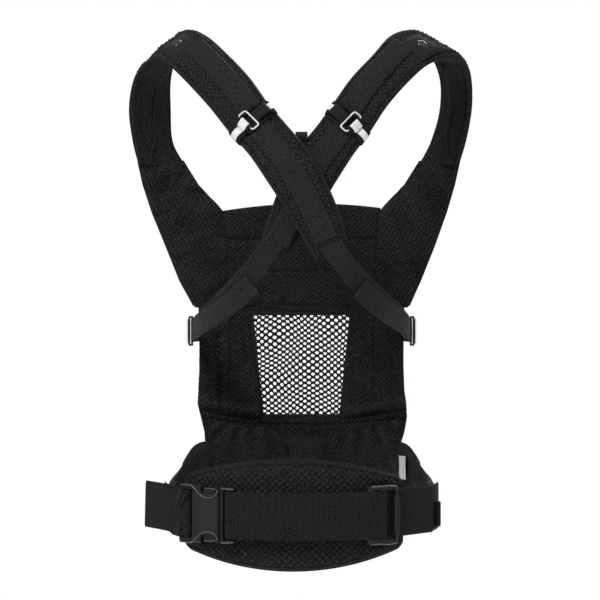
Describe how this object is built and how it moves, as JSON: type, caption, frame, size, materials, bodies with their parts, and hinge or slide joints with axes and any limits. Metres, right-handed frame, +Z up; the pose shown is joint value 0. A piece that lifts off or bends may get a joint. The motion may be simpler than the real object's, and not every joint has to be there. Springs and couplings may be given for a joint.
{
  "type": "soft baby carrier",
  "caption": "Soft structured baby carrier shown worn: crossed padded shoulder straps, mesh-windowed back panel, padded waistband and lumbar pad with a side-release buckle.",
  "frame": {"origin": "middle of the waist loop, at half the height of the hip webbing", "axes": "+Z up, +Y towards the baby panel, +X to the right of someone looking at the wearer's back"},
  "size_m": [0.3893, 0.2552, 0.5869],
  "materials": {
    "mesh_fabric": "matte",
    "smooth_fabric": "matte",
    "webbing": "matte",
    "elastic": "matte",
    "open_mesh": "matte",
    "woven_label": "matte",
    "plastic": "satin",
    "wire": "satin"
  },
  "bodies": {
    "harness": {"back_panel": "mesh_fabric", "care_label": "woven_label", "crossing_keeper": "elastic", "crossing_patch": "webbing", "left_anchor_webbing": "webbing", "left_elastic_band": "elastic", "left_hip_webbing": "webbing", "left_hood_snap": "plastic", "left_load_tail": "webbing", "left_load_webbing": "webbing", "left_lower_webbing": "webbing", "left_ring_fold": "elastic", "left_ring_loop": "webbing", "left_seat_flap": "mesh_fabric", "left_shoulder_pad": "mesh_fabric", "left_snap_tab": "smooth_fabric", "left_upper_webbing": "webbing", "left_waist_tail": "webbing", "left_waist_wrap": "webbing", "left_wing": "mesh_fabric", "lumbar_pad": "mesh_fabric", "mesh_window": "open_mesh", "right_anchor_webbing": "webbing", "right_elastic_band": "elastic", "right_hip_webbing": "webbing", "right_hood_snap": "plastic", "right_load_tail": "webbing", "right_load_webbing": "webbing", "right_lower_webbing": "webbing", "right_ring_fold": "elastic", "right_ring_loop": "webbing", "right_seat_flap": "mesh_fabric", "right_shoulder_pad": "mesh_fabric", "right_snap_tab": "smooth_fabric", "right_upper_webbing": "webbing", "right_wing": "mesh_fabric", "seat_panel": "mesh_fabric", "waist_buckle_socket": "plastic", "waist_tail_keeper": "webbing", "waistband_pad": "smooth_fabric"},
    "buckle_plug": {"waist_buckle_plug": "plastic", "centre_waist_wrap": "webbing", "centre_waist_webbing": "webbing", "right_waist_wrap": "webbing", "right_waist_tail": "webbing"},
    "upper_prong": {"upper_prong": "plastic"},
    "lower_prong": {"lower_prong": "plastic"},
    "waist_adjuster": {"waist_adjuster": "plastic"},
    "left_side_adjuster": {"left_side_adjuster": "plastic"},
    "right_side_adjuster": {"right_side_adjuster": "plastic"},
    "left_strap_ring": {"left_strap_ring": "wire"},
    "right_strap_ring": {"right_strap_ring": "wire"},
    "head_support": {"head_support": "mesh_fabric"}
  },
  "joints": [
    {"name": "waist_buckle_release", "type": "slide", "parent": "harness", "child": "buckle_plug", "axis": [0.848, -0.5299, 0], "range_m": [0, 0.03]},
    {"name": "upper_prong_flex", "type": "hinge", "parent": "buckle_plug", "child": "upper_prong", "pos_m": [-0.08464, -0.10995, 0.019], "axis": [-0.5299, -0.848, 0], "range_deg": [0, 7], "stiffness_Nm_per_rad": 0.2},
    {"name": "lower_prong_flex", "type": "hinge", "parent": "buckle_plug", "child": "lower_prong", "pos_m": [-0.08464, -0.10995, -0.019], "axis": [0.5299, 0.848, 0], "range_deg": [0, 7], "stiffness_Nm_per_rad": 0.2},
    {"name": "waist_adjuster_tilt", "type": "hinge", "parent": "buckle_plug", "child": "waist_adjuster", "pos_m": [0.08497, -0.10921, 0], "axis": [0, 0, -1], "range_deg": [0, 20]},
    {"name": "left_side_adjuster_tilt", "type": "hinge", "parent": "harness", "child": "left_side_adjuster", "pos_m": [-0.1235, 0.052, 0.192], "axis": [0, 0, -1], "range_deg": [0, 35]},
    {"name": "right_side_adjuster_tilt", "type": "hinge", "parent": "harness", "child": "right_side_adjuster", "pos_m": [0.1235, 0.052, 0.192], "axis": [0, 0, 1], "range_deg": [0, 35]},
    {"name": "left_strap_ring_tilt", "type": "hinge", "parent": "harness", "child": "left_strap_ring", "pos_m": [-0.05961, -0.0901, 0.41482], "axis": [0.6365, -0.3904, -0.6652], "range_deg": [0, 40]},
    {"name": "right_strap_ring_tilt", "type": "hinge", "parent": "harness", "child": "right_strap_ring", "pos_m": [0.05607, -0.08547, 0.41357], "axis": [0.6663, 0.2651, 0.6969], "range_deg": [0, 40]},
    {"name": "head_support_fold", "type": "hinge", "parent": "harness", "child": "head_support", "pos_m": [0, 0.109, 0.297], "axis": [-1, 0, 0], "range_deg": [0, 120]}
  ]
}
